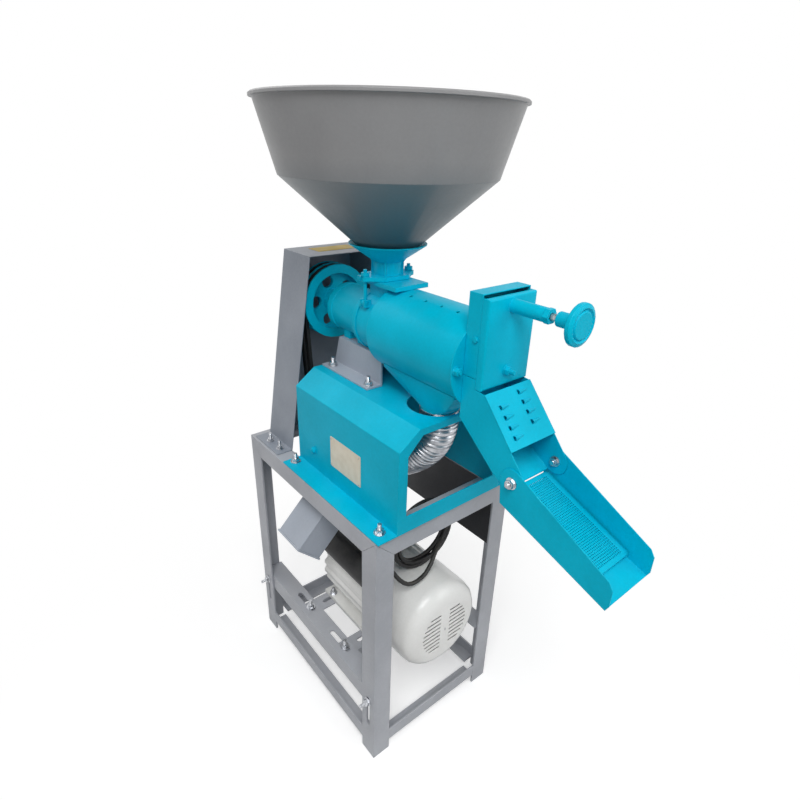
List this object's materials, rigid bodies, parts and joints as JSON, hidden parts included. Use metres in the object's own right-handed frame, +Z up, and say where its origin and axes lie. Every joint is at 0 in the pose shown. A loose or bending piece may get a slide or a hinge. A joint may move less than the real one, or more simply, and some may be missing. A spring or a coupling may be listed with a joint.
{
  "type": "rice huller",
  "caption": "Motor-driven rice huller on an angle iron stand, with a hopper above, a roller in a screen drum, a pressure gate with a knob, rice chutes and a bran duct.",
  "frame": {"origin": "centre of the bounding box, on the floor under the stand's feet", "axes": "+X from the bran duct's side to the plain panel's side, +Y along the main shaft from the rice outlet to the belt guard, +Z up"},
  "size_m": [0.4304, 0.808, 1.2225],
  "materials": {
    "frame_paint": "grey paint on angle iron",
    "guard_paint": "grey paint on sheet",
    "panel_paint": "dark grey paint on sheet",
    "teal_paint": "glossy blue-green paint",
    "hopper_steel": "satin dark grey",
    "motor_paint": "off-white paint",
    "black_plastic": "black plastic",
    "zinc": "zinc plated steel",
    "machined_steel": "machined steel",
    "cast_iron": "bare cast iron",
    "hose_foil": "corrugated metal foil",
    "black_rubber": "black rubber",
    "cream_plastic": "cream plastic"
  },
  "bodies": {
    "machine": {"side_frame_left": "frame_paint", "side_frame_right": "frame_paint", "top_frame": "frame_paint", "low_rail_front": "frame_paint", "low_rail_rear": "frame_paint", "motor_rail_left": "frame_paint", "motor_rail_right": "frame_paint", "cross_rail_front": "frame_paint", "cross_rail_rear": "frame_paint", "side_panel": "panel_paint", "stand_box": "teal_paint", "pedestal": "guard_paint", "bearing_housing": "teal_paint", "rear_cap": "cast_iron", "rear_bearing": "machined_steel", "front_bearing": "machined_steel", "feed_casting": "teal_paint", "drum_cover": "teal_paint", "upper_screen": "machined_steel", "lower_screen": "machined_steel", "drum_end_disc": "teal_paint", "bran_funnel": "teal_paint", "bran_hose": "hose_foil", "hose_clamp": "zinc", "bran_duct": "guard_paint", "feed_funnel": "teal_paint", "eye_bolt_left": "teal_paint", "eye_bolt_right": "teal_paint", "discharge_box": "teal_paint", "door_cover": "teal_paint", "gate_pin": "teal_paint", "lock_nut": "teal_paint", "pressure_spring": "machined_steel", "upper_chute": "teal_paint", "louvre_plate": "teal_paint", "pivot_rod": "zinc", "v_belt_front": "black_rubber", "v_belt_rear": "black_rubber", "belt_guard": "guard_paint", "motor_body": "motor_paint", "fan_cover": "motor_paint", "capacitor_cover": "black_plastic", "terminal_box": "black_plastic", "cord": "black_rubber", "cord_coil": "black_rubber", "plug": "cream_plastic"},
    "main_rotor": {"main_shaft": "machined_steel", "feed_screw": "cast_iron", "huller_roller": "cast_iron", "main_pulley": "teal_paint"},
    "motor_rotor": {"motor_shaft": "machined_steel", "motor_pulley": "cast_iron"},
    "rod_slider": {"spring_seat": "machined_steel"},
    "knob_assembly": {"pressure_rod": "machined_steel", "hand_knob": "teal_paint"},
    "gate": {"pressure_gate": "machined_steel"},
    "tilting_chute": {"lower_chute": "teal_paint", "chute_screen": "teal_paint"},
    "hopper_body": {"hopper": "hopper_steel"}
  },
  "joints": [
    {"name": "main_shaft_spin", "type": "hinge", "parent": "machine", "child": "main_rotor", "pos_m": [0, 0.1715, 0.864], "axis": [0, 1, 0], "continuous": true},
    {"name": "motor_spin", "type": "hinge", "parent": "machine", "child": "motor_rotor", "pos_m": [0, 0.1715, 0.2735], "axis": [0, 1, 0], "continuous": true},
    {"name": "rod_slide", "type": "slide", "parent": "machine", "child": "rod_slider", "axis": [0, 1, 0], "range_m": [-0.003, 0.009], "deforming": ["pressure_spring"]},
    {"name": "knob_turn", "type": "hinge", "parent": "rod_slider", "child": "knob_assembly", "pos_m": [0, -0.2305, 0.9605], "axis": [0, 1, 0], "range_deg": [-720, 2160]},
    {"name": "gate_hinge", "type": "hinge", "parent": "machine", "child": "gate", "pos_m": [0, -0.135, 0.9147], "axis": [-1, 0, 0], "range_deg": [0, 12], "stiffness_Nm_per_rad": 0.3},
    {"name": "chute_tilt", "type": "hinge", "parent": "machine", "child": "tilting_chute", "pos_m": [0, -0.2294, 0.7274], "axis": [1, 0, 0], "range_deg": [-12, 20]},
    {"name": "hopper_lift", "type": "slide", "parent": "machine", "child": "hopper_body", "axis": [0, 0, 1], "range_m": [0, 0.08]}
  ],
  "couplings": [
    {"joint": "motor_spin", "follows": "main_shaft_spin", "ratio": 2},
    {"joint": "rod_slide", "follows": "knob_turn", "m_per_rad": 0.00023873}
  ]
}
